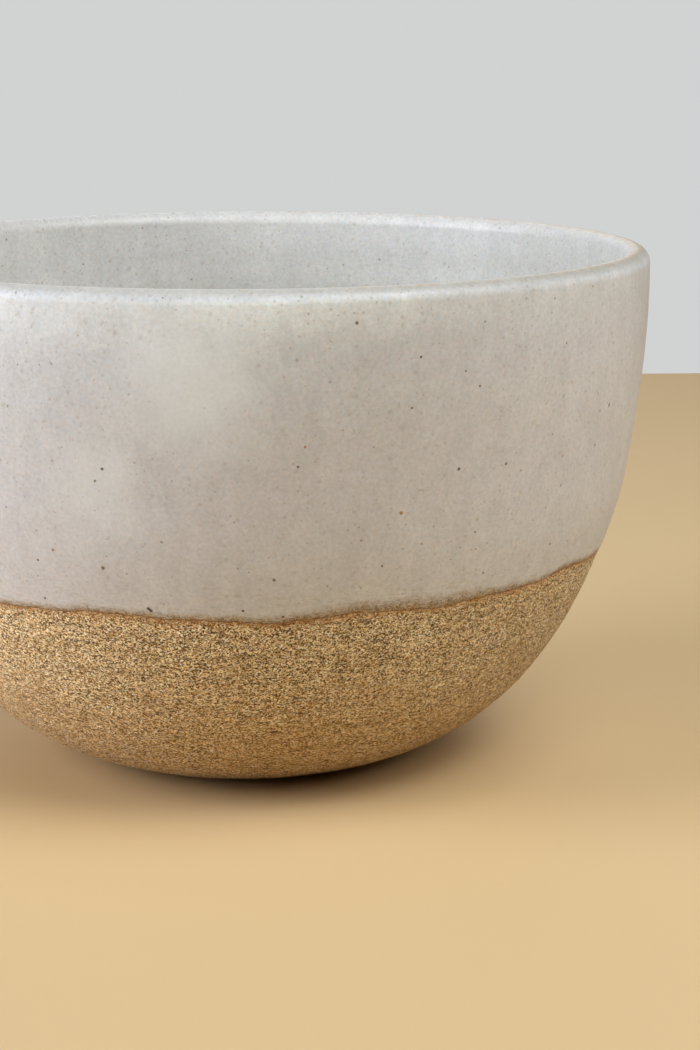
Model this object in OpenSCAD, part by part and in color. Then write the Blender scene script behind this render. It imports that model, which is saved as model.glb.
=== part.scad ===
// A wheel-thrown stoneware prep bowl, with a liner glaze inside and a dipped glaze outside.
// Lengths are in millimetres. Z is up, and the bowl stands on z = 0 with its axis on Z.
// Each piece is an outline in the half plane of radius and height, turned about the axis.

/* [Bowl] */
// Diameter of the finished bowl across its widest part
bowl_d = 150; // [120:1:190]
// Height from the table to the top of the lip
bowl_h = 95; // [75:1:120]

/* [Clay body] */
// Thickness of the finished lip, with the glaze on both sides
lip_t = 5; // [4:0.1:7]
// Thickness of the clay in the middle of the floor
floor_t = 7; // [5:0.1:9]
// Diameter of the flat spot in the middle of the floor
floor_flat_d = 24; // [16:1:32]
// Diameter of the foot that the bowl stands on
foot_d = 52; // [44:1:60]
// Diameter of the shallow hollow turned under the foot
hollow_d = 36; // [28:1:40]
// Depth of the hollow
hollow_depth = 1.2; // [0.6:0.1:2]

/* [Glaze] */
// Thickness of each coat of glaze
glaze_t = 0.4; // [0.2:0.05:0.7]
// Height of the dip line, where the outside glaze ends
dip_h = 40; // [30:1:55]
// Length over which the edge of the dipped coat rolls down to the clay
edge_l = 0.8; // [0.4:0.1:1.5]

/* [Fullness of the curves] */
// How far the outside runs out from the foot before it turns up
foot_pull_share = 0.885; // [0.8:0.005:0.95]
// How far the outside climbs while it runs out
foot_rise_share = 0.089; // [0.05:0.001:0.12]
// How far the outside hangs straight down from the lip before it turns in
side_pull_share = 0.306; // [0.25:0.002:0.4]
// How far the inside runs out from the floor's flat spot before it turns up
floor_pull_share = 0.7; // [0.6:0.01:0.75]
// How far the inside hangs straight down from the lip before it turns in
wall_pull_share = 0.6; // [0.5:0.01:0.65]

/* [Hidden] */

// Steps of each long curve, of each half of the lip, and of the rolled edge of the glaze
side_steps = 22;
lip_steps = 6;
edge_steps = 4;
// Facets of a turned piece on the screen
$fn = 120;

// Colours of the bare clay and of the glaze
clay_colour = "#A07C51";
glaze_colour = "#C9C3B4";

// The clay alone: its widest radius, its lip's radius and the height of the lip's centre
clay_r = bowl_d / 2 - glaze_t;
lip_r = lip_t / 2 - glaze_t;
lip_h = bowl_h - lip_t / 2;
lip_centre = [clay_r - lip_r, lip_h];
foot_r = foot_d / 2;
hollow_r = hollow_d / 2;
floor_flat_r = floor_flat_d / 2;

// The four handles of the outside curve, from the edge of the foot up to the lip
outside_handles = [
    [foot_r, 0],
    [foot_r + foot_pull_share * (clay_r - foot_r), foot_rise_share * lip_h],
    [clay_r, lip_h - side_pull_share * lip_h],
    [clay_r, lip_h]
];

// The four handles of the inside curve, from the floor's flat spot up to the lip
well_r = clay_r - 2 * lip_r;
well_depth = lip_h - floor_t;
inside_handles = [
    [floor_flat_r, floor_t],
    [floor_flat_r + floor_pull_share * (well_r - floor_flat_r), floor_t],
    [well_r, lip_h - wall_pull_share * well_depth],
    [well_r, lip_h]
];

// The point and the unit direction at share t of a curve with four handles
function point_at(h, t) =
    let (u = 1 - t)
    pow(u, 3) * h[0] + 3 * pow(u, 2) * t * h[1] + 3 * u * pow(t, 2) * h[2] + pow(t, 3) * h[3];
function heading_at(h, t) =
    let (u = 1 - t, d = pow(u, 2) * (h[1] - h[0]) + 2 * u * t * (h[2] - h[1]) + pow(t, 2) * (h[3] - h[2]))
    d / norm(d);

// Part of a curve, moved by a thickness to the right of its heading, which is away from the bowl's axis
function right_of(d) = [d[1], -d[0]];
function curve(h, from, to, thick = 0) =
    [for (i = [0 : side_steps]) let (t = from + (to - from) * i / side_steps)
        point_at(h, t) + thick * right_of(heading_at(h, t))];

// The share of a rising curve at which it reaches a height, found by halving
function share_at(h, height, low = 0, high = 1, halvings = 30) =
    let (middle = (low + high) / 2)
    halvings == 0 ? middle
        : point_at(h, middle)[1] < height ? share_at(h, height, middle, high, halvings - 1)
        : share_at(h, height, low, middle, halvings - 1);

// Part of the round of the lip, from one angle to another
function lip(from, to, thick = 0) =
    [for (i = [0 : lip_steps]) let (a = from + (to - from) * i / lip_steps)
        lip_centre + (lip_r + thick) * [cos(a), sin(a)]];

function reversed(points) = [for (i = [len(points) - 1 : -1 : 0]) points[i]];
function after_first(points) = [for (i = [1 : len(points) - 1]) points[i]];

dip_share = share_at(outside_handles, dip_h);
bare_side = curve(outside_handles, 0, dip_share);

// The clay faces that each coat covers, and the faces of the coats themselves
dipped_clay = concat(curve(outside_handles, dip_share, 1), after_first(lip(0, 90)));
dipped_face = concat(
    after_first(curve(outside_handles, dip_share, 1, glaze_t)),
    after_first(lip(0, 90, glaze_t))
);
lined_clay = concat(
    lip(90, 180),
    after_first(curve(inside_handles, 1, 0)),
    [[0, floor_t]]
);
lined_face = concat(
    lip(90, 180, glaze_t),
    after_first(curve(inside_handles, 1, 0, -glaze_t)),
    [[0, floor_t + glaze_t]]
);

// The edge of the dipped coat, rolled from the clay up to the coat's full thickness
dip_point = point_at(outside_handles, dip_share);
dip_heading = heading_at(outside_handles, dip_share);
rolled_edge = [for (i = [1 : edge_steps]) let (a = 90 * i / edge_steps)
    dip_point + edge_l * (1 - cos(a)) * dip_heading + glaze_t * sin(a) * right_of(dip_heading)];

// The thrown and turned body, with a hollow under the foot
module clay_body() {
    color(clay_colour)
    rotate_extrude()
    polygon(concat(
        [[0, hollow_depth], [hollow_r, hollow_depth], [hollow_r + hollow_depth, 0]],
        bare_side,
        after_first(dipped_clay),
        after_first(lined_clay)
    ));
}

// The liner coat, from the top of the lip down over the floor
module inside_glaze() {
    color(glaze_colour)
    rotate_extrude()
    polygon(concat(lined_face, reversed(lined_clay)));
}

// The dipped coat, from the dip line up to the top of the lip
module outside_glaze() {
    color(glaze_colour)
    rotate_extrude()
    polygon(concat(rolled_edge, dipped_face, reversed(dipped_clay)));
}

clay_body();
inside_glaze();
outside_glaze();
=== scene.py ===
# A wheel-thrown stoneware prep bowl: bare sandy clay below, a satin white glaze above and inside.
# The pieces come in the order in which the bowl is made. Lengths are in metres unless a name says so.
import math

import bpy
import numpy as np
from mathutils import Matrix, Vector
from mathutils.geometry import interpolate_bezier


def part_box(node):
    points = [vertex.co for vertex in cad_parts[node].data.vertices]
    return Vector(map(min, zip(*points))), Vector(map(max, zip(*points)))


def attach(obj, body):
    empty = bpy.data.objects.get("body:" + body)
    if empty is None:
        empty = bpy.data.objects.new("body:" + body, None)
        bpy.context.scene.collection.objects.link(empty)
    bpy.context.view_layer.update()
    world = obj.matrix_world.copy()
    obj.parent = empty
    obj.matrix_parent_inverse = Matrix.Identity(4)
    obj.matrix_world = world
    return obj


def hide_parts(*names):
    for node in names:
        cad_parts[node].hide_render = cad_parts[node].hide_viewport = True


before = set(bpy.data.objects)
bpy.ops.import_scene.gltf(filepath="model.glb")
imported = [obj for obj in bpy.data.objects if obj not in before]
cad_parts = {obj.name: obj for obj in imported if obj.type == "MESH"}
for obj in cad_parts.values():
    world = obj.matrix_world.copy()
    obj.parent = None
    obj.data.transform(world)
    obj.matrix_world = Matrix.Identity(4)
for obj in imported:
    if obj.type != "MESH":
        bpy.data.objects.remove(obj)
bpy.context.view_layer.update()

mm = 0.001


# The camera stands where the photograph was taken from, close to the bowl and 45 mm above its lip.
# It has a long lens and looks down on the near side, so the bowl's left edge falls outside the picture.
photo_width = 700
photo_height = 1050
focal_pixels = 2500
sensor_height_mm = 36
camera_place = Vector((0, -465.7 * mm, 140.2 * mm))
camera_yaw = math.radians(2.41)
camera_pitch = math.radians(11.96)
camera_roll = math.radians(-0.08)

bpy.ops.object.select_all(action="DESELECT")
bpy.ops.object.camera_add()
camera = bpy.context.object
camera.name = "camera"
camera.data.sensor_fit = "VERTICAL"
camera.data.sensor_height = sensor_height_mm
camera.data.lens = sensor_height_mm * focal_pixels / photo_height
camera.matrix_world = (
    Matrix.Translation(camera_place)
    @ Matrix.Rotation(-camera_yaw, 4, "Z")
    @ Matrix.Rotation(math.radians(90) - camera_pitch, 4, "X")
    @ Matrix.Rotation(camera_roll, 4, "Z")
)
bpy.context.scene.camera = camera


# The clay body is thrown on the wheel from sandy stoneware, and its outside is turned with a tool once
# the clay has stiffened. It stands on a small flat foot with a shallow hollow turned out of it.
bowl_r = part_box("outside_glaze")[1].x
bowl_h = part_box("outside_glaze")[1].z
clay_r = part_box("clay_body")[1].x
floor_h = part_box("inside_glaze")[0].z
glaze_t = bowl_r - clay_r
lip_t = 5 * mm
lip_r = lip_t / 2 - glaze_t
lip_h = bowl_h - lip_t / 2
lip_centre = Vector((clay_r - lip_r, lip_h))
well_r = clay_r - 2 * lip_r
foot_r = 26 * mm
hollow_r = 18 * mm
hollow_depth = 1.2 * mm
floor_flat_r = 12 * mm
# The outside and the inside of the clay, each a curve with four handles from the foot or floor to the lip
outside_handles = [
    (foot_r, 0),
    (foot_r + 0.885 * (clay_r - foot_r), 0.089 * lip_h),
    (clay_r, 0.694 * lip_h),
    (clay_r, lip_h),
]
inside_handles = [
    (floor_flat_r, floor_h),
    (floor_flat_r + 0.7 * (well_r - floor_flat_r), floor_h),
    (well_r, lip_h - 0.6 * (lip_h - floor_h)),
    (well_r, lip_h),
]
# The turned edge of the hollow under the foot, from its ceiling down to the ring that the bowl stands on
hollow_edge_handles = [
    (hollow_r - mm, hollow_depth),
    (hollow_r + 0.4 * mm, hollow_depth),
    (hollow_r + 0.8 * mm, 0),
    (hollow_r + 2.2 * mm, 0),
]
turned_steps = 512
curve_points = 900
bare_step = 0.62 * mm
hidden_step = 5 * mm
under_step = 0.7 * mm
clay_lip_step = 0.6 * mm
bare_overlap = 4 * mm
sharp_edge = math.radians(50)
same_point = 0.001 * mm
ridge_depth = 0.035 * mm
under_ridge_depth = 0.105 * mm
ridge_pitch = 3.1 * mm
grit_depth = 0.16 * mm
grit_size = 1.1 * mm
lump_depth = 0.22 * mm
lump_size = 9 * mm


def curve(handles):
    """Points along a curve with four handles, each a radius and a height."""
    return list(interpolate_bezier(*[Vector(handle) for handle in handles], curve_points))


def lip_arc(start, end, thickness=0, count=90):
    """Part of the round of the lip, from one angle to another."""
    angles = np.radians(np.linspace(start, end, count))
    reach = lip_r + thickness
    return [lip_centre + reach * Vector((math.cos(angle), math.sin(angle))) for angle in angles]


def rights_of(points):
    """The unit direction to the right of an outline's heading, at each of its points."""
    rights = []
    for before, after in zip(points[:1] + points[:-1], points[1:] + points[-1:]):
        heading = (after - before).normalized()
        rights.append(Vector((heading.y, -heading.x)))
    return rights


def moved(points, amounts):
    """An outline whose points are moved to the right of its heading, each by its own amount."""
    return [here + float(amount) * right for here, right, amount in zip(points, rights_of(points), amounts)]


def lengths_along(points):
    """How far along an outline each of its points lies."""
    return np.cumsum([0] + [(after - here).length for here, after in zip(points, points[1:])])


def evenly(points, step):
    """The same outline, redrawn with its points about one step apart."""
    lengths = lengths_along(points)
    marks = np.linspace(0, lengths[-1], max(2, round(lengths[-1] / step) + 1))
    across = np.interp(marks, lengths, [point.x for point in points])
    up = np.interp(marks, lengths, [point.y for point in points])
    return [Vector(pair) for pair in zip(across, up)]


def ridged(points, depth, pitch):
    """An outline with the shallow ridges that a finger or a tool leaves as the wheel turns."""
    lengths = lengths_along(points)
    turns = math.tau * lengths / pitch
    waves = 0.6 * np.sin(turns) + 0.4 * np.sin(0.41 * turns + 2)
    ends = np.clip(np.minimum(lengths, lengths[-1] - lengths) / pitch, 0, 1)
    return moved(points, depth * waves * ends)


def turned(name, outline, closed=False):
    """A piece traced as a chain of points in the bowl's cross-section and turned once round its axis."""
    bpy.ops.object.select_all(action="DESELECT")
    bpy.ops.mesh.primitive_plane_add(size=mm)
    piece = bpy.context.object
    piece.name = name
    piece.data.name = name
    bpy.ops.object.mode_set(mode="EDIT")
    bpy.ops.mesh.merge(type="CENTER")
    start = outline[0]
    bpy.ops.transform.translate(value=(start.x, 0, start.y))
    for here, after in zip(outline, outline[1:] + (outline[:1] if closed else [])):
        step = (after.x - here.x, 0, after.y - here.y)
        bpy.ops.mesh.extrude_region_move(TRANSFORM_OT_translate={"value": step})
    bpy.ops.object.mode_set(mode="OBJECT")
    turn = piece.modifiers.new("turn", "SCREW")
    turn.angle = math.tau
    turn.steps = turned_steps
    turn.render_steps = turned_steps
    bpy.ops.object.modifier_apply(modifier=turn.name)
    bpy.ops.object.mode_set(mode="EDIT")
    bpy.ops.mesh.select_all(action="SELECT")
    bpy.ops.mesh.remove_doubles(threshold=same_point)
    bpy.ops.mesh.normals_make_consistent(inside=False)
    bpy.ops.object.mode_set(mode="OBJECT")
    bpy.ops.object.shade_smooth_by_angle(angle=sharp_edge)
    return piece


def points_of(piece):
    """The places of a piece's points, as a table with a row for each."""
    places = np.empty(len(piece.data.vertices) * 3)
    piece.data.vertices.foreach_get("co", places)
    return places.reshape(-1, 3)


def keep_numbers(piece, name, numbers):
    """Keeps a number for each point of a piece, which its material can read."""
    attribute = piece.data.attributes.new(name, "FLOAT", "POINT")
    attribute.data.foreach_set("value", numbers.astype(np.float32))


def roughen(piece, weights, depth, size):
    """Moves a piece's surface in and out by a soft noise, where its weights allow."""
    group = piece.vertex_groups.new(name="rough")
    for index, weight in enumerate(weights):
        if weight > 0:
            group.add([index], float(weight), "REPLACE")
    texture = bpy.data.textures.new("rough", "CLOUDS")
    texture.noise_scale = size
    texture.noise_depth = 1
    modifier = piece.modifiers.new("rough", "DISPLACE")
    modifier.texture = texture
    modifier.texture_coords = "LOCAL"
    modifier.strength = depth
    modifier.mid_level = 0.5
    modifier.vertex_group = group.name
    bpy.context.view_layer.objects.active = piece
    bpy.ops.object.modifier_apply(modifier=modifier.name)
    piece.vertex_groups.remove(piece.vertex_groups["rough"])


# The glaze ends at a dip line that leans to one side and sags here and there. A sag is its degrees from
# the bowl's front, how many mm it rises, and how many degrees wide it is. A ripple is how many of them
# go round the bowl, its mm and its phase.
dip_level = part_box("outside_glaze")[0].z
dip_lean_right = 0.6 * mm
dip_lean_back = 0.35 * mm
dip_sags = [
    (-34, 0.25, 4), (-21, 0.8, 8), (3.5, -0.65, 5.5), (15.5, 0.4, 3.2), (28.8, -0.6, 3.2), (56.5, 1, 5.5),
    (74, -0.4, 5), (92, 0.5, 10), (117, -0.7, 8), (138, 0.4, 7), (160, -0.5, 9), (-172, 0.6, 8),
    (-148, -0.8, 7), (-124, 0.3, 9), (-96, -0.6, 8), (-67, 0.5, 9), (-48, -0.4, 7),
]
dip_ripples = [(47, 0.05, 2), (83, 0.05, 4), (127, 0.04, 5)]


def angles_of(places):
    """The angle of each place round the bowl, from its front."""
    return np.arctan2(places[:, 0], -places[:, 1])


def radii_of(places):
    """The distance of each place from the bowl's axis."""
    return np.hypot(places[:, 0], places[:, 1])


def swell(angle, degrees, rise_mm, width):
    """A soft rise round the bowl, centred so many degrees from its front."""
    away = (np.degrees(angle) - degrees + 180) % 360 - 180
    return rise_mm * mm * np.exp(-((away / width) ** 2))


def dip_height(places):
    """The height of the dip line at the angle of each place round the bowl."""
    angle = angles_of(places)
    height = dip_level + dip_lean_right * np.sin(angle) - dip_lean_back * np.cos(angle)
    for sag in dip_sags:
        height = height + swell(angle, *sag)
    for count, depth, phase in dip_ripples:
        height = height + depth * mm * np.sin(count * angle + phase)
    return height


def radius_at(heights, outline):
    """The radius at which an outline passes each height."""
    return np.interp(heights, [point.y for point in outline], [point.x for point in outline])


outside_curve = curve(outside_handles)
inside_curve = curve(inside_handles)
bare_top = dip_level + bare_overlap
bare_side = evenly([point for point in outside_curve if point.y <= bare_top], bare_step)
covered_side = evenly([point for point in outside_curve if point.y > bare_top], hidden_step)
underside = [Vector((0, hollow_depth))] + curve(hollow_edge_handles) + [Vector((foot_r, 0))]
underside = ridged(evenly(underside, under_step), under_ridge_depth, ridge_pitch)
underside = [Vector((point.x, max(0, point.y))) for point in underside]
body_outline = (
    underside
    + ridged(bare_side, ridge_depth, ridge_pitch)[1:]
    + covered_side
    + evenly(lip_arc(0, 180), clay_lip_step)[1:]
    + evenly(inside_curve[::-1], hidden_step)[1:]
    + [Vector((0, floor_h))]
)
clay_body = turned("stoneware_body", body_outline)

places = points_of(clay_body)
below_dip = dip_height(places) - places[:, 2]
on_outside = radii_of(places) > radius_at(places[:, 2], inside_curve) + 1.5 * mm
off_foot = np.clip(places[:, 2] / (2 * mm), 0, 1)
bare = np.clip(below_dip / mm + 0.5, 0, 1) * off_foot * on_outside
keep_numbers(clay_body, "below_dip", below_dip / mm)
roughen(clay_body, bare, lump_depth, lump_size)
roughen(clay_body, bare, grit_depth, grit_size)


def colour(code):
    """The colour of a hex code, as the shader's linear red, green, blue and alpha."""
    parts = [int(code[place : place + 2], 16) / 255 for place in (1, 3, 5)]
    return [part / 12.92 if part <= 0.04045 else ((part + 0.055) / 1.055) ** 2.4 for part in parts] + [1]


def new_material(name, **values):
    """A material with one Principled shader, and the values of its sockets."""
    material = bpy.data.materials.new(name)
    material.use_nodes = True
    shader = material.node_tree.nodes["Principled BSDF"]
    for socket, value in values.items():
        shader.inputs[socket.replace("_", " ")].default_value = value
    return material, material.node_tree, shader


def feed(tree, socket, value):
    """Links a socket to the input of a node, or sets the input to a value."""
    if isinstance(value, bpy.types.NodeSocket):
        tree.links.new(value, socket)
    else:
        socket.default_value = value


def add(tree, kind, *inputs, **settings):
    """A node of a tree. Each input is a socket to link or a value to set."""
    node = tree.nodes.new("ShaderNode" + kind)
    for name, value in settings.items():
        setattr(node, name, value)
    for socket, value in zip(node.inputs, inputs):
        feed(tree, socket, value)
    return node


def maths(tree, operation, *values):
    """The result of a Math node."""
    return add(tree, "Math", *values, operation=operation).outputs[0]


def times(tree, first, *others):
    """The product of some values."""
    for other in others:
        first = maths(tree, "MULTIPLY", first, other)
    return first


def plus(tree, first, *others):
    """The sum of some values."""
    for other in others:
        first = maths(tree, "ADD", first, other)
    return first


def between(tree, value, start, end, low=0, high=1):
    """A value from low to high as another value goes from start to end, eased at both ends."""
    return add(tree, "MapRange", value, start, end, low, high, interpolation_type="SMOOTHSTEP").outputs[0]


def blended(tree, share, first, second, blend_type="MIX"):
    """Two colours mixed by a share."""
    node = add(tree, "Mix", data_type="RGBA", blend_type=blend_type)
    for socket, value in zip((node.inputs[0], node.inputs[6], node.inputs[7]), (share, first, second)):
        feed(tree, socket, value)
    return node.outputs[2]


def laid_over(tree, base, mask, share, code):
    """A colour with another laid over it where a mask allows, up to a share."""
    return blended(tree, times(tree, mask, share), base, colour(code))


def shaded(tree, base, tint):
    """A colour made darker or paler by a number that varies over the surface."""
    return blended(tree, 1, base, add(tree, "CombineColor", tint, tint, tint).outputs[0], "MULTIPLY")


def moved_by(tree, places, operation, vector):
    """Places changed by a vector: shifted by ADD, or squeezed along an axis by MULTIPLY."""
    return add(tree, "VectorMath", places, vector, operation=operation).outputs[0]


def squeezed(tree, places, sideways, upwards=1):
    """Places squeezed so that a pattern on them is drawn out round the bowl or down it."""
    return moved_by(tree, places, "MULTIPLY", (sideways, sideways, upwards))


def shifted(tree, places, shift):
    """Places moved aside, so that a second layer of a pattern doesn't repeat the first."""
    return moved_by(tree, places, "ADD", (shift, 2 * shift, 3 * shift))


def places_in_mm(tree):
    """Object coordinates in millimetres, and their parts across and up the bowl."""
    mapping = add(tree, "Mapping", add(tree, "TexCoord").outputs["Object"])
    mapping.inputs["Scale"].default_value = [1 / mm] * 3
    places = mapping.outputs[0]
    across, _, up = add(tree, "SeparateXYZ", places).outputs
    return places, across, up


def noise(tree, places, size_mm, detail=2, roughness=0.5):
    """A noise about 0.5, with lumps of a size in millimetres."""
    node = add(tree, "TexNoise")
    feed(tree, node.inputs["Vector"], places)
    node.inputs["Scale"].default_value = 1 / size_mm
    node.inputs["Detail"].default_value = detail
    node.inputs["Roughness"].default_value = roughness
    return node.outputs["Fac"]


def ramp(tree, value, stops):
    """A colour that follows a value through a list of stops."""
    node = add(tree, "ValToRGB", value)
    elements = node.color_ramp.elements
    elements[0].position, elements[0].color = stops[0][0], colour(stops[0][1])
    elements[1].position, elements[1].color = stops[-1][0], colour(stops[-1][1])
    for position, code in stops[1:-1]:
        elements.new(position).color = colour(code)
    return node.outputs[0]


def bumped(tree, shader, height, strength, distance):
    """Gives a shader fine relief from a height that varies over the surface."""
    bump = add(tree, "Bump")
    feed(tree, bump.inputs["Height"], height)
    bump.inputs["Strength"].default_value = strength
    bump.inputs["Distance"].default_value = distance
    feed(tree, shader.inputs["Normal"], bump.outputs[0])


def new_group(name, inputs, outputs):
    """An empty shader node group with named inputs and outputs, and its inner ends."""
    tree = bpy.data.node_groups.new(name, "ShaderNodeTree")
    for socket, kind, value in inputs:
        made = tree.interface.new_socket(socket, in_out="INPUT", socket_type="NodeSocket" + kind)
        if value is not None:
            made.default_value = value
    for socket in outputs:
        tree.interface.new_socket(socket, in_out="OUTPUT", socket_type="NodeSocketFloat")
    return tree, tree.nodes.new("NodeGroupInput"), tree.nodes.new("NodeGroupOutput")


def iron_spots_group():
    """Specks of iron: soft round spots scattered through the clay and the glaze, cut by the surface."""
    tree, start, end = new_group(
        "iron_spots",
        [
            ("Places", "Vector", None),
            ("Spacing", "Float", 3),
            ("Radius", "Float", 0.3),
            ("Softness", "Float", 0.5),
        ],
        ["Mask", "Tone"],
    )
    spacing = start.outputs["Spacing"]
    spacing_each_way = add(tree, "CombineXYZ", spacing, spacing, spacing).outputs[0]
    spread = moved_by(tree, start.outputs["Places"], "DIVIDE", spacing_each_way)
    cells = add(tree, "TexVoronoi")
    feed(tree, cells.inputs["Vector"], spread)
    cells.inputs["Scale"].default_value = 1
    chance = add(tree, "SeparateColor", cells.outputs["Color"])
    away = times(tree, cells.outputs["Distance"], spacing)
    radius = times(tree, start.outputs["Radius"], between(tree, chance.outputs[0], 0, 1, 0.35, 1))
    inner = times(tree, radius, maths(tree, "SUBTRACT", 1, start.outputs["Softness"]))
    feed(tree, end.inputs["Mask"], between(tree, away, radius, inner))
    feed(tree, end.inputs["Tone"], chance.outputs[1])
    return tree


def spots(tree, places, spacing_mm, radius_mm, softness):
    """A layer of iron spots in a material: its mask and its tone."""
    node = add(tree, "Group", places, spacing_mm, radius_mm, softness, node_tree=iron_spots)
    return node.outputs["Mask"], node.outputs["Tone"]


grain_size_mm = 0.235
fine_grain_size_mm = 0.145
pit_size_mm = 0.31


def sandy_grain_group():
    """Sand and grog in the clay: a number for each grain, the pits between, and streaks left by the tool."""
    tree, start, end = new_group(
        "sandy_grain", [("Places", "Vector", None)], ["Grain", "Tone", "Pits", "Streaks", "Height"]
    )
    dragged = squeezed(tree, start.outputs["Places"], 0.86)
    streaked = squeezed(tree, start.outputs["Places"], 0.13)
    cells = add(tree, "TexVoronoi")
    feed(tree, cells.inputs["Vector"], dragged)
    cells.inputs["Scale"].default_value = 1 / grain_size_mm
    picked = add(tree, "SeparateColor", cells.outputs["Color"])
    domed = maths(tree, "SUBTRACT", 1, cells.outputs["Distance"])
    fine = noise(tree, dragged, fine_grain_size_mm, 1)
    grain = plus(tree, times(tree, picked.outputs[0], 0.9), times(tree, fine, 0.8), -0.34)
    pits = between(tree, noise(tree, dragged, pit_size_mm, 2, 0.6), 0.45, 0.38)
    streaks = between(tree, noise(tree, streaked, 0.3, 1), 0.64, 0.7)
    raised = plus(tree, times(tree, grain, 0.6), times(tree, domed, 0.6))
    height = plus(tree, raised, times(tree, pits, -1.2), times(tree, streaks, -1))
    feed(tree, end.inputs["Grain"], grain)
    feed(tree, end.inputs["Tone"], picked.outputs[1])
    feed(tree, end.inputs["Pits"], pits)
    feed(tree, end.inputs["Streaks"], streaks)
    feed(tree, end.inputs["Height"], height)
    return tree


iron_spots = iron_spots_group()
sandy_grain = sandy_grain_group()
# The tones of the clay's grains, from the dark gaps between them to the palest sand
grain_tones = [
    (0.11, "#49351F"), (0.25, "#A18255"), (0.39, "#D6B47E"),
    (0.56, "#EDD29B"), (0.73, "#FDEABC"), (0.92, "#FFFDEA"),
]
clay_orange = "#CB8F50"
clay_grey = "#A39A8B"
clay_warm = "#BE965F"
clay_rust = "#B57C42"
clay_shade_and_bounce_near_foot = "#B07C38"
clay_flashed = "#AE7030"
clay_pale_grog = "#EBDCC0"
clay_dragged = "#553C22"
clay_pit = "#382818"
clay_deep_pit = "#2B1E14"


def bare_clay_material():
    """Sandy buff stoneware, fired bare: pale and brown grains with dark pits, dragged round by the tool."""
    material, tree, shader = new_material(
        "bare_sandy_clay", Roughness=0.85, Specular_IOR_Level=0.3, Diffuse_Roughness=0.1
    )
    places, across, up = places_in_mm(tree)
    sand = add(tree, "Group", places, node_tree=sandy_grain)
    tone = sand.outputs["Tone"]
    base = ramp(tree, sand.outputs["Grain"], grain_tones)
    base = laid_over(tree, base, between(tree, tone, 0.68, 0.9), 0.32, clay_orange)
    base = laid_over(tree, base, between(tree, tone, 0.3, 0.12), 0.36, clay_grey)
    warm = between(tree, noise(tree, places, 14, 3), 0.35, 0.65)
    base = laid_over(tree, base, warm, 0.22, clay_warm)
    rusty = between(tree, noise(tree, shifted(tree, places, 11), 0.7, 2), 0.6, 0.72)
    base = laid_over(tree, base, rusty, 0.45, clay_rust)
    cloud = between(tree, noise(tree, places, 1.6, 3, 0.6), 0.3, 0.7, 0.9, 1.08)
    rings = between(tree, noise(tree, squeezed(tree, places, 0.02), 0.9, 3, 0.6), 0.3, 0.7, 0.92, 1.07)
    # Painted light and shade: the clay is paler on the left and darker on the right, as the light falls on
    # it.
    painted_side_light = between(tree, across, -55, 10, 1.08, 0.95)
    base = shaded(tree, base, times(tree, cloud, rings, painted_side_light))
    # Painted shade and warm bounce light: the clay turns darker and more orange towards the foot.
    base = laid_over(tree, base, between(tree, up, 30, 10), 0.28, clay_shade_and_bounce_near_foot)
    base = laid_over(tree, base, sand.outputs["Streaks"], 0.75, clay_dragged)
    base = laid_over(tree, base, sand.outputs["Pits"], 0.88, clay_pit)
    deep, _ = spots(tree, places, 1.9, 0.3, 0.4)
    base = laid_over(tree, base, deep, 0.88, clay_deep_pit)
    pale, _ = spots(tree, shifted(tree, places, 17), 1.7, 0.3, 0.5)
    base = laid_over(tree, base, pale, 0.6, clay_pale_grog)
    below_dip = add(tree, "Attribute", attribute_name="below_dip").outputs["Fac"]
    ragged = plus(tree, below_dip, times(tree, noise(tree, places, 0.9, 3), 2.4))
    base = laid_over(tree, base, between(tree, ragged, 2.6, 1), 0.5, clay_flashed)
    feed(tree, shader.inputs["Base Color"], base)
    bumped(tree, shader, sand.outputs["Height"], 0.9, 0.05 * mm)
    return material


clay_body.data.materials.append(bare_clay_material())
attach(clay_body, "root")
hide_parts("clay_body")


# The outside coat is a satin white glaze, put on by lowering the bowl into a bucket nearly to its foot.
# It is thin where it ends and on the lip, so the clay's iron shows through it there as brown.
edge_length = 1.7 * mm
edge_start_t = -0.05 * mm
fired_t = 0.93 * glaze_t
swell_depth = 0.15 * mm
swell_height = 50 * mm
swell_length = 33 * mm
edge_step = 0.2 * mm
face_step = 0.62 * mm
lip_step = 0.15 * mm
slide_top = 62 * mm
orange_peel_depth = 0.14 * mm
orange_peel_size = 11 * mm
lip_blend = 8 * mm
least_over_clay = 0.12 * mm
# The thin band above the dip line, and where it swells: the degrees from the front, the mm and the width
thin_band_least = 1.1 * mm
thin_band_swells = [
    (24, 1.2, 15), (85, 0.5, 12), (128, 1.1, 16), (-165, 0.6, 20), (-110, 1, 14), (-60, 0.5, 12),
]


def dipped_thickness(height):
    """The outside coat's thickness: nothing at its edge, more above the dip line and less higher up."""
    fade = min(1, max(0, (lip_h - height) / (lip_h - swell_height)))
    wave = math.cos(math.tau * (height - swell_height) / swell_length)
    full = fired_t + fade * swell_depth * wave
    rise = min(1, max(0, (height - dip_level) / edge_length))
    return edge_start_t + (full - edge_start_t) * math.sqrt(1 - (1 - rise) ** 2)


def coated(points):
    """The face of the outside coat over part of the clay's outline."""
    return moved(points, [dipped_thickness(point.y) for point in points])


def face_weights(over_clay, places):
    """Where a coat's own face may be roughened: off the clay, and less and less up to the lip."""
    return (over_clay > least_over_clay) * np.clip((lip_h - places[:, 2]) / lip_blend, 0, 1)


dipped_side = [point for point in outside_curve if point.y >= dip_level]
edge_top = dip_level + 2 * edge_length
edge_face = evenly([point for point in dipped_side if point.y < edge_top], edge_step)
side_face = evenly([point for point in dipped_side if point.y >= edge_top], face_step)
dipped_outline = (
    coated(edge_face)
    + coated(side_face)
    + evenly(lip_arc(0, 90, fired_t), lip_step)[1:]
    + evenly(lip_arc(90, 0), clay_lip_step)
    + evenly(dipped_side[::-1], hidden_step)[1:]
)
outside_glaze = turned("dipped_glaze", dipped_outline, closed=True)

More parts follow.
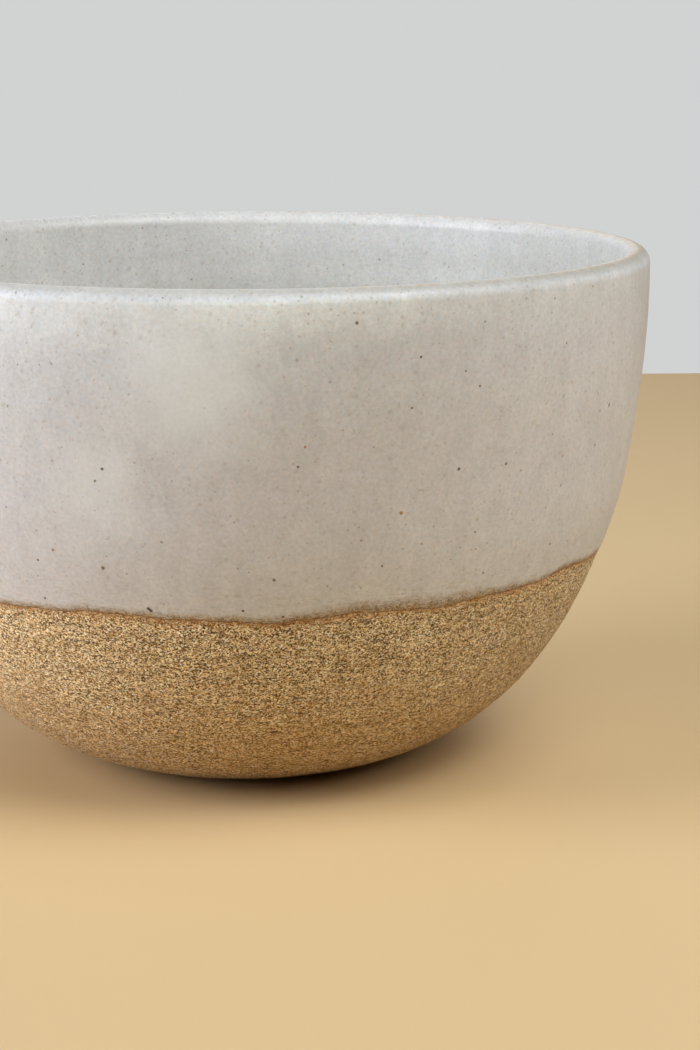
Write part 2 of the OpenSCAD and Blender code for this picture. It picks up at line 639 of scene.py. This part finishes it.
# The coat's points slide up and down the wall so that its edge follows the dip line
places = points_of(outside_glaze)
slide = np.clip((slide_top - places[:, 2]) / (slide_top - dip_level), 0, 1) ** 1.5
lifted = places[:, 2] + (dip_height(places) - dip_level) * slide
grown = radius_at(lifted, outside_curve) - radius_at(places[:, 2], outside_curve)
radius = radii_of(places)
places[:, :2] *= ((radius + grown) / radius)[:, None]
places[:, 2] = lifted
outside_glaze.data.vertices.foreach_set("co", places.ravel())
outside_glaze.data.update()

above_dip = places[:, 2] - dip_height(places)
thin_band = thin_band_least
for swelling in thin_band_swells:
    thin_band = thin_band + swell(angles_of(places), *swelling)
keep_numbers(outside_glaze, "above_dip", above_dip / mm)
keep_numbers(outside_glaze, "out_of_thin_band", above_dip / thin_band)
over_clay = radii_of(places) - radius_at(places[:, 2], outside_curve)
weights = face_weights(over_clay, places) * np.clip(above_dip / (4 * mm), 0, 1)
roughen(outside_glaze, weights, orange_peel_depth, orange_peel_size)

# The glaze low on the wall, halfway up, under the lip, and in the band below the crest of the lip, which is
# whiter glaze with a painted highlight
dipped_tones = ("#C7C5C4", "#C6C4C4", "#C5C6C6", "#E7ECEB")
blush_tones = [(0.35, "#FFFCF9"), (0.65, "#FAFDFF")]
soft_speck_tones = [(0, "#A68C5A"), (1, "#8F8C87")]
faint_speck_tones = [(0, "#A0845C"), (1, "#8B867C")]
brown_speck_tones = [(0, "#8A6238"), (1, "#5C5346")]
tiny_speck = "#4A3E30"
dark_speck = "#4A3824"
# Clay and iron that show through where the glaze is thin, and a painted shadow line along the glaze's edge
crest_tan = "#BFA47C"
crest_wash = "#F9F5EB"
under_glaze_tones = [(0.05, "#5C462D"), (0.4, "#8C704A"), (0.7, "#AA8F67"), (1, "#CBB58F")]
under_glaze_pit = "#463220"
edge_rust = "#8A5420"
edge_shadow_line = "#5A3A1A"
wheel_line_brown = "#A38A66"
wheel_line_pale = "#E6E4E0"
lip_top_mm = bowl_h / mm


def glaze_colours(tree, places, across, up, tones):
    """The satin white glaze: whiter higher up and whitest below the lip's crest, where whiter glaze carries
    a painted highlight, with painted light and shade from side to side, mottled and specked.
    """
    drift = times(tree, noise(tree, places, 22, 3), 16)
    # Painted light and shade: the tones shift paler to the left and darker to the right.
    level = plus(tree, up, drift, times(tree, across, -0.22))
    base = blended(tree, between(tree, level, 44, 64), colour(tones[0]), colour(tones[1]))
    base = blended(tree, between(tree, level, 70, 100), base, colour(tones[2]))
    # The white band below the crest is partly whiter glaze and partly painted highlight. It is strongest
    # near the middle and weaker to the left and right.
    painted_shade_right = times(tree, maths(tree, "MAXIMUM", across, 0), -0.1)
    level = plus(tree, up, times(tree, noise(tree, places, 9, 2), 6), painted_shade_right)
    painted_band_left = between(tree, across, -20, 2, 0.52, 1)
    painted_band_right = between(tree, across, 8, 42, 1, 0.35)
    crest = plus(tree, up, times(tree, across, -0.01))
    below_crest = between(tree, crest, lip_top_mm - 2.2, lip_top_mm - 0.8, 1, 0.05)
    white = times(tree, between(tree, level, 85, 97), painted_band_right, painted_band_left, below_crest)
    base = blended(tree, white, base, colour(tones[3]))
    mottle = between(tree, noise(tree, places, 0.68, 2, 0.7), 0.2, 0.8, 0.9, 1.105)
    cloud = between(tree, noise(tree, places, 4.5, 3), 0.25, 0.75, 0.965, 1.035)
    runs = between(tree, noise(tree, squeezed(tree, places, 1, 0.18), 3.4, 2), 0.25, 0.75, 0.97, 1.03)
    crest_shade = between(tree, up, lip_top_mm - 1.4, lip_top_mm - 0.4, 1, 0.95)
    base = shaded(tree, base, times(tree, mottle, cloud, runs, crest_shade))
    blush = ramp(tree, noise(tree, shifted(tree, places, 23), 0.9, 2), blush_tones)
    base = blended(tree, 1, base, blush, "MULTIPLY")
    soft, tone = spots(tree, shifted(tree, places, 7), 1.9, 0.62, 0.85)
    base = blended(tree, times(tree, soft, 0.32), base, ramp(tree, tone, soft_speck_tones))
    faint, tone = spots(tree, places, 1.25, 0.31, 0.75)
    base = blended(tree, times(tree, faint, 0.45), base, ramp(tree, tone, faint_speck_tones))
    brown, tone = spots(tree, shifted(tree, places, 31), 2.5, 0.34, 0.7)
    base = blended(tree, times(tree, brown, 0.65), base, ramp(tree, tone, brown_speck_tones))
    tiny, _ = spots(tree, shifted(tree, places, 43), 3.4, 0.2, 0.5)
    base = laid_over(tree, base, tiny, 0.7, tiny_speck)
    dark, _ = spots(tree, shifted(tree, places, 57), 6.9, 0.36, 0.7)
    return laid_over(tree, base, dark, 0.6, dark_speck)


def crest_breaks(tree, base, places, across, up):
    """The glaze breaks to tan here and there on the crest of the lip, more of it on the right."""
    crest = between(tree, up, lip_top_mm - 0.5, lip_top_mm - 0.05)
    breaks = plus(tree, noise(tree, places, 1.3, 3, 0.6), times(tree, across, 0.0022))
    return laid_over(tree, base, times(tree, crest, between(tree, breaks, 0.52, 0.66)), 0.5, crest_tan)


def dipped_edge(tree, base, places, up):
    """The dipped coat where it is thin, on the lip and at its edge, and a mask of how thin the edge is."""
    crest = between(tree, up, lip_top_mm - 1.4, lip_top_mm - 0.4)
    base = blended(tree, crest, base, colour(crest_wash), "MULTIPLY")
    out_of_band = add(tree, "Attribute", attribute_name="out_of_thin_band").outputs["Fac"]
    ragged = times(tree, plus(tree, noise(tree, places, 1.6, 4, 0.65), -0.5), 1.5)
    ragged = plus(tree, ragged, noise(tree, places, 0.5, 2), -0.5)
    thin = between(tree, plus(tree, out_of_band, ragged), 1.6, 0.1)
    sand = add(tree, "Group", places, node_tree=sandy_grain)
    under = ramp(tree, sand.outputs["Grain"], under_glaze_tones)
    under = laid_over(tree, under, sand.outputs["Pits"], 0.6, under_glaze_pit)
    base = blended(tree, times(tree, thin, 0.9), base, under)
    above_dip = add(tree, "Attribute", attribute_name="above_dip").outputs["Fac"]
    broken = between(tree, noise(tree, places, 1.1, 4, 0.7), 0.42, 0.58)
    rust = plus(tree, above_dip, times(tree, noise(tree, places, 0.9, 4, 0.65), 2))
    rust = times(tree, between(tree, rust, 1.65, 1.05), between(tree, broken, 0, 1, 0.1, 0.85))
    rust = times(tree, rust, between(tree, sand.outputs["Grain"], 0.2, 0.8, 1, 0.45))
    base = blended(tree, rust, base, colour(edge_rust))
    # A painted shadow line: a dark brown line right along the glaze's edge.
    rim = plus(tree, above_dip, times(tree, noise(tree, places, 0.7, 3), 0.8))
    base = laid_over(tree, base, between(tree, rim, 0.72, 0.45), 0.5, edge_shadow_line)
    low = between(tree, above_dip, 10, 1.5)
    wheeled = squeezed(tree, places, 0.16)
    brown_line = between(tree, noise(tree, wheeled, 0.4, 2), 0.6, 0.72)
    base = laid_over(tree, base, times(tree, brown_line, low), 0.4, wheel_line_brown)
    pale_line = between(tree, noise(tree, shifted(tree, wheeled, 5), 0.4, 2), 0.6, 0.72)
    return laid_over(tree, base, times(tree, pale_line, low), 0.35, wheel_line_pale), thin


def distance_from(tree, places, centre):
    """How many millimetres each place lies from a point of the bowl."""
    return add(tree, "VectorMath", places, tuple(centre / mm), operation="DISTANCE").outputs["Value"]


def glaze_material(name, tones, dipped=False, specks=(), painted_reflections=()):
    """The glaze on one side of the bowl, with its own tones, and with a thin edge where it was dipped."""
    material, tree, shader = new_material(
        name, Diffuse_Roughness=0.05, Coat_Weight=0.1, Coat_Roughness=0.35
    )
    places, across, up = places_in_mm(tree)
    base = glaze_colours(tree, places, across, up, tones)
    # Painted reflections of a window, laid on in the band's white tone
    for centre, radius_mm, share in painted_reflections:
        away = distance_from(tree, places, centre)
        away = plus(tree, away, times(tree, noise(tree, places, 7, 3), 10))
        base = laid_over(tree, base, between(tree, away, radius_mm + 5, 7), share, tones[3])
    base = crest_breaks(tree, base, places, across, up)
    rough = between(tree, noise(tree, places, 3, 3), 0.3, 0.7, 0.44, 0.54)
    if dipped:
        base, thin = dipped_edge(tree, base, places, up)
        rough = plus(tree, rough, times(tree, thin, 0.3))
    for centre, radius_mm, code in specks:
        wobble = times(tree, noise(tree, places, 0.35, 1), 0.6 * radius_mm)
        away = plus(tree, distance_from(tree, places, centre), wobble)
        mask = between(tree, away, 1.75 * radius_mm, 0.9 * radius_mm)
        base = laid_over(tree, base, mask, 0.92, code)
    feed(tree, shader.inputs["Base Color"], base)
    feed(tree, shader.inputs["Roughness"], rough)
    height = plus(tree, noise(tree, places, 1.6, 2), times(tree, noise(tree, places, 0.5, 1), 0.3))
    bumped(tree, shader, height, 0.5, 0.02 * mm)
    return material


def on_glaze(across, down):
    """The place on the outside coat that a point of the photograph shows."""
    sideways = (across - photo_width / 2) / focal_pixels
    upwards = (photo_height / 2 - down) / focal_pixels
    heading = camera.matrix_world.to_3x3() @ Vector((sideways, upwards, -1))
    hit, place, _, _ = outside_glaze.ray_cast(camera.matrix_world.translation, heading.normalized())
    if not hit:
        raise ValueError(f"The point {across}, {down} of the photograph misses the glaze.")
    return place


# Iron specks that stand out, by colour: the place of each in the photograph, and its radius in mm
bold_specks = {
    "#32251A": [
        (148.6, 608.8, 0.3), (150.9, 610.6, 0.3), (45, 598, 0.2), (243, 611, 0.22),
        (283, 617, 0.2), (459, 469, 0.26), (38, 560, 0.2),
    ],
    "#4E4030": [
        (609, 405, 0.3), (506, 464, 0.24), (483, 573, 0.2), (102, 469, 0.24), (298, 467, 0.2),
    ],
    "#5A4A39": [
        (421, 357, 0.22), (466, 371, 0.16), (480, 386, 0.2), (382, 566, 0.2),
        (595, 445, 0.22), (550, 544, 0.2),
    ],
    "#6C5636": [
        (357, 323, 0.26), (475, 532, 0.2), (95, 481, 0.2), (103, 568, 0.32),
        (274, 580, 0.26), (412, 408, 0.2),
    ],
    "#A06A38": [(401, 513, 0.3), (53, 550, 0.26), (305, 447, 0.2)],
}
# Painted reflections of a window, laid on as patches of whiter glaze tone: the place in the photograph, the
# radius in mm and the share of white
window_reflection_spots = [(192, 385, 18, 0.5), (95, 485, 13, 0.3)]

bpy.context.view_layer.update()
specks = [
    (on_glaze(across, down), radius_mm, code)
    for code, spread in bold_specks.items()
    for across, down, radius_mm in spread
]
painted_reflections = [
    (on_glaze(across, down), radius_mm, share) for across, down, radius_mm, share in window_reflection_spots
]
outside_glaze.data.materials.append(
    glaze_material("dipped_satin_glaze", dipped_tones, True, specks, painted_reflections)
)
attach(outside_glaze, "root")
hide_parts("outside_glaze")


# The liner coat is poured into the bowl, swirled round and poured out again, so it runs up to the lip.
# It follows the shallow rings that the potter's fingers left in the wall and the floor.
inner_step = 0.95 * mm
finger_depth = 0.05 * mm
finger_pitch = 7 * mm
liner_peel_size = 15.4 * mm
# The liner low on the wall, halfway up, under the lip, and in its band below the crest, whiter glaze with a
# painted highlight; glaze_colours also paints light and shade on it from side to side
liner_tones = ("#C7C5BC", "#C9C7BD", "#D5D3CE", "#DEDCD6")

inside_face = [Vector((0, floor_h))] + inside_curve
inside_face = evenly(moved(inside_face, [-fired_t] * len(inside_face)), inner_step)
inside_face = ridged(inside_face, finger_depth, finger_pitch)
liner_outline = (
    [Vector((0, inside_face[0].y))]
    + inside_face[1:]
    + evenly(lip_arc(180, 90, fired_t), lip_step)[1:]
    + evenly(lip_arc(90, 180), clay_lip_step)
    + evenly(inside_curve[::-1], hidden_step)[1:]
    + [Vector((0, floor_h))]
)
inside_glaze = turned("liner_glaze", liner_outline)

places = points_of(inside_glaze)
over_clay = radius_at(places[:, 2], inside_curve) - radii_of(places)
weights = face_weights(over_clay, places) * (radii_of(places) > 2 * mm)
roughen(inside_glaze, weights, orange_peel_depth, liner_peel_size)
inside_glaze.data.materials.append(glaze_material("liner_satin_glaze", liner_tones))
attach(inside_glaze, "root")
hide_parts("inside_glaze")


# The stage is a plain pale table top whose far edge lies behind the bowl, against a pale grey surround.
# Daylight comes from wide windows on the left and high on the right, and a little from far right and behind.
table_reach = 0.95
table_back = 478 * mm
table_t = 40 * mm
table_rounding = 12 * mm
window_size = 0.7
window_distance = 1.2

bpy.ops.object.select_all(action="DESELECT")
bpy.ops.mesh.primitive_cube_add(size=1, location=(0, (table_back - table_reach) / 2, -table_t / 2))
table = bpy.context.object
table.name = "table_top"
table.scale = (2 * table_reach, table_back + table_reach, table_t)
bpy.ops.object.transform_apply(location=True, rotation=True, scale=True)
rounding = table.modifiers.new("rounding", "BEVEL")
rounding.width = table_rounding
rounding.segments = 6
bpy.ops.object.modifier_apply(modifier=rounding.name)
bpy.ops.object.shade_smooth_by_angle(angle=math.radians(40))
table_material, _, _ = new_material("pale_table", Base_Color=colour("#D4B787"), Roughness=0.7)
table.data.materials.append(table_material)

world = bpy.data.worlds.new("pale_surround")
bpy.context.scene.world = world
world.use_nodes = True
ambient = world.node_tree.nodes["Background"]
ambient.inputs["Color"].default_value = colour("#FCFEFF")
ambient.inputs["Strength"].default_value = 0.02
backdrop = world.node_tree.nodes.new("ShaderNodeBackground")
backdrop.inputs["Color"].default_value = colour("#D1D2D2")
seen = world.node_tree.nodes.new("ShaderNodeLightPath").outputs["Is Camera Ray"]
chosen = world.node_tree.nodes.new("ShaderNodeMixShader")
surface = world.node_tree.nodes["World Output"].inputs["Surface"]
feed(world.node_tree, chosen.inputs[0], seen)
feed(world.node_tree, chosen.inputs[1], ambient.outputs[0])
feed(world.node_tree, chosen.inputs[2], backdrop.outputs[0])
feed(world.node_tree, surface, chosen.outputs[0])
bpy.context.scene.view_settings.view_transform = "Standard"


def window(name, degrees, rise, power, code):
    """A soft square light that faces the bowl, so many degrees round from the camera's side and up."""
    turn = math.radians(degrees)
    lift = math.radians(rise)
    heading = Vector((math.sin(turn) * math.cos(lift), -math.cos(turn) * math.cos(lift), math.sin(lift)))
    bpy.ops.object.light_add(type="AREA", location=Vector((0, 0, bowl_h / 2)) + window_distance * heading)
    light = bpy.context.object
    light.name = name
    light.data.size = window_size
    light.data.energy = power
    light.data.color = colour(code)[:3]
    light.visible_camera = False
    light.rotation_euler = (-heading).to_track_quat("-Z", "Y").to_euler()


window("left_window", -80, 12, 10.6, "#EDF2FF")
window("high_left_window", -75, 28, 7.9, "#EDF2FF")
window("back_window", 180, 25, 1.9, "#FFFDFE")
window("right_window", 47, 43, 6, "#FBFDFF")
window("high_right_window", 47, 60, 7.9, "#FBFDFF")
window("far_right_window", 110, 12, 1.9, "#FFFDF6")
